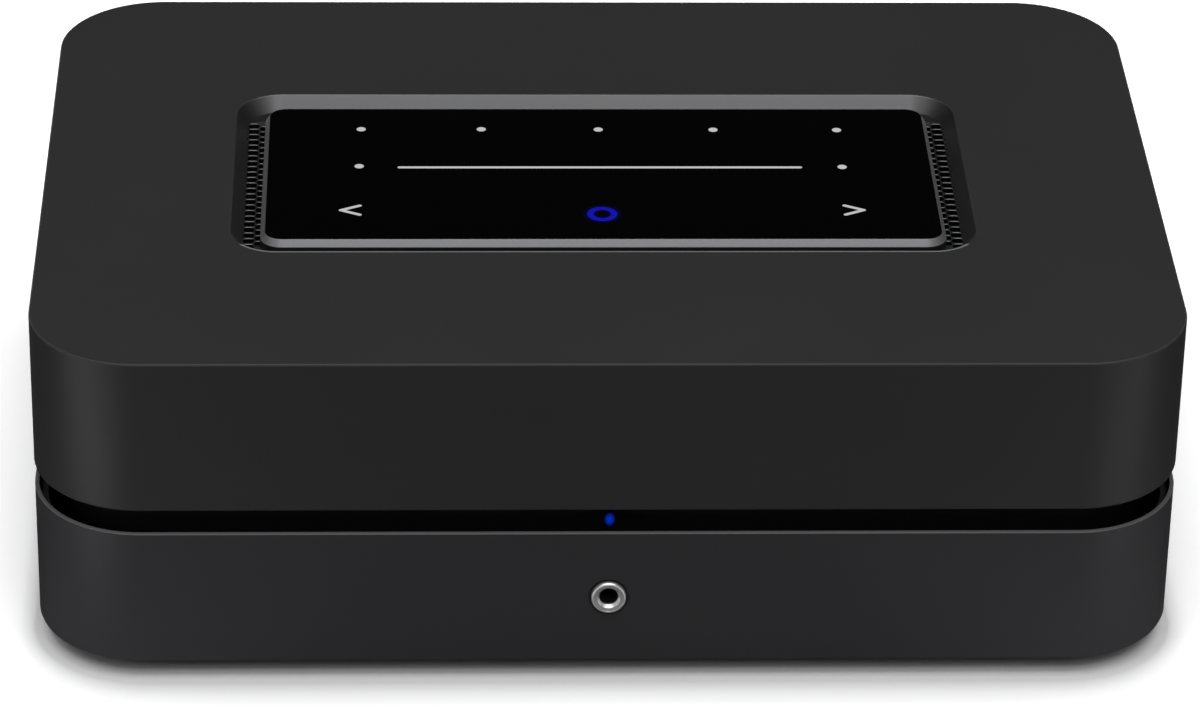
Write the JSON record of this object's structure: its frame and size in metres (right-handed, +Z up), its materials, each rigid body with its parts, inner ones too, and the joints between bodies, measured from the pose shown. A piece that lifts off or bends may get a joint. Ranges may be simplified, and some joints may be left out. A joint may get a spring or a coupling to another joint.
{
  "type": "streaming amplifier",
  "caption": "Compact two-tier desktop streaming amplifier with a touch panel set in a ventilated well on top, a front headphone socket and a recessed rear connector bay.",
  "frame": {"origin": "centre of the footprint, on the surface that the feet stand on", "axes": "+X along the front to the right, +Y to the back, +Z up"},
  "size_m": [0.22, 0.1546, 0.07],
  "materials": {
    "shell_finish": "satin charcoal coat",
    "black_plate": "black powder coat",
    "core_black": "matte black moulding",
    "touch_black": "black back-printed cover glass",
    "panel_metal": "satin anodised grey",
    "vent_black": "blackened sheet",
    "light_blue": "clear light guide lit blue",
    "board_dark": "solder mask",
    "zinc_steel": "plated sheet",
    "dark_screws": "blackened steel",
    "standoff_brass": "turned",
    "ring_chrome": "polished",
    "socket_black": "moulded black",
    "contact_metal": "plated brass",
    "cap_red": "moulded",
    "cap_black": "moulded",
    "sink_aluminium": "extruded",
    "ferrite": "ferrite",
    "winding_tape": "yellow tape",
    "choke_copper": "enamelled copper wire",
    "can_sleeve": "sleeved cans",
    "aerial_film": "printed film",
    "foot_rubber": "moulded"
  },
  "bodies": {
    "housing": {"upper_shell": "shell_finish", "lower_shell": "shell_finish", "base_plate": "black_plate", "core_frame": "core_black", "status_light_pipe": "light_blue", "status_light_board": "board_dark", "glass_frame": "panel_metal", "touch_glass": "touch_black", "touch_board": "board_dark", "panel_tray": "core_black", "vent_mesh_left": "vent_black", "vent_mesh_right": "vent_black", "headphone_ring": "ring_chrome", "headphone_jack": "socket_black", "headphone_board": "board_dark", "rear_panel": "black_plate", "terminal_base": "socket_black", "terminal_posts": "contact_metal", "post_nuts": "contact_metal", "mains_inlet": "socket_black", "inlet_pins": "contact_metal", "ethernet_socket": "socket_black", "usb_socket": "zinc_steel", "hdmi_socket": "zinc_steel", "audio_in_socket": "socket_black", "sub_out_socket": "contact_metal", "mid_plate": "zinc_steel", "main_standoffs": "standoff_brass", "main_board": "board_dark", "processor_heat_sink": "sink_aluminium", "network_module": "zinc_steel", "antenna_left": "aerial_film", "antenna_right": "aerial_film", "ribbon_cable": "aerial_film", "low_standoffs": "standoff_brass", "power_board": "board_dark", "transformer_core": "ferrite", "transformer_winding": "winding_tape", "bulk_capacitors": "can_sleeve", "mains_choke": "choke_copper", "amplifier_board": "board_dark", "heat_sink": "sink_aluminium", "output_inductors": "ferrite", "housing_screws": "dark_screws", "foot_front_left": "foot_rubber", "foot_back_left": "foot_rubber", "foot_front_right": "foot_rubber", "foot_back_right": "foot_rubber"},
    "washer_1": {"clamp_washer_1": "contact_metal"},
    "cap_1": {"terminal_cap_1": "cap_black"},
    "washer_2": {"clamp_washer_2": "contact_metal"},
    "cap_2": {"terminal_cap_2": "cap_red"},
    "washer_3": {"clamp_washer_3": "contact_metal"},
    "cap_3": {"terminal_cap_3": "cap_black"},
    "washer_4": {"clamp_washer_4": "contact_metal"},
    "cap_4": {"terminal_cap_4": "cap_red"}
  },
  "joints": [
    {"name": "washer_1_slide", "type": "slide", "parent": "housing", "child": "washer_1", "axis": [0, 1, 0], "range_m": [0, 0.0035]},
    {"name": "cap_1_turn", "type": "hinge", "parent": "washer_1", "child": "cap_1", "pos_m": [0.01375, 0.0609, 0.024], "axis": [0, 1, 0], "range_deg": [0, 1267.2]},
    {"name": "washer_2_slide", "type": "slide", "parent": "housing", "child": "washer_2", "axis": [0, 1, 0], "range_m": [0, 0.0035]},
    {"name": "cap_2_turn", "type": "hinge", "parent": "washer_2", "child": "cap_2", "pos_m": [0.03275, 0.0609, 0.024], "axis": [0, 1, 0], "range_deg": [0, 1267.2]},
    {"name": "washer_3_slide", "type": "slide", "parent": "housing", "child": "washer_3", "axis": [0, 1, 0], "range_m": [0, 0.0035]},
    {"name": "cap_3_turn", "type": "hinge", "parent": "washer_3", "child": "cap_3", "pos_m": [0.05425, 0.0609, 0.024], "axis": [0, 1, 0], "range_deg": [0, 1267.2]},
    {"name": "washer_4_slide", "type": "slide", "parent": "housing", "child": "washer_4", "axis": [0, 1, 0], "range_m": [0, 0.0035]},
    {"name": "cap_4_turn", "type": "hinge", "parent": "washer_4", "child": "cap_4", "pos_m": [0.07325, 0.0609, 0.024], "axis": [0, 1, 0], "range_deg": [0, 1267.2]}
  ],
  "couplings": [
    {"joint": "cap_1_turn", "follows": "washer_1_slide", "rad_per_m": 6283.2},
    {"joint": "cap_2_turn", "follows": "washer_2_slide", "rad_per_m": 6283.2},
    {"joint": "cap_3_turn", "follows": "washer_3_slide", "rad_per_m": 6283.2},
    {"joint": "cap_4_turn", "follows": "washer_4_slide", "rad_per_m": 6283.2}
  ]
}
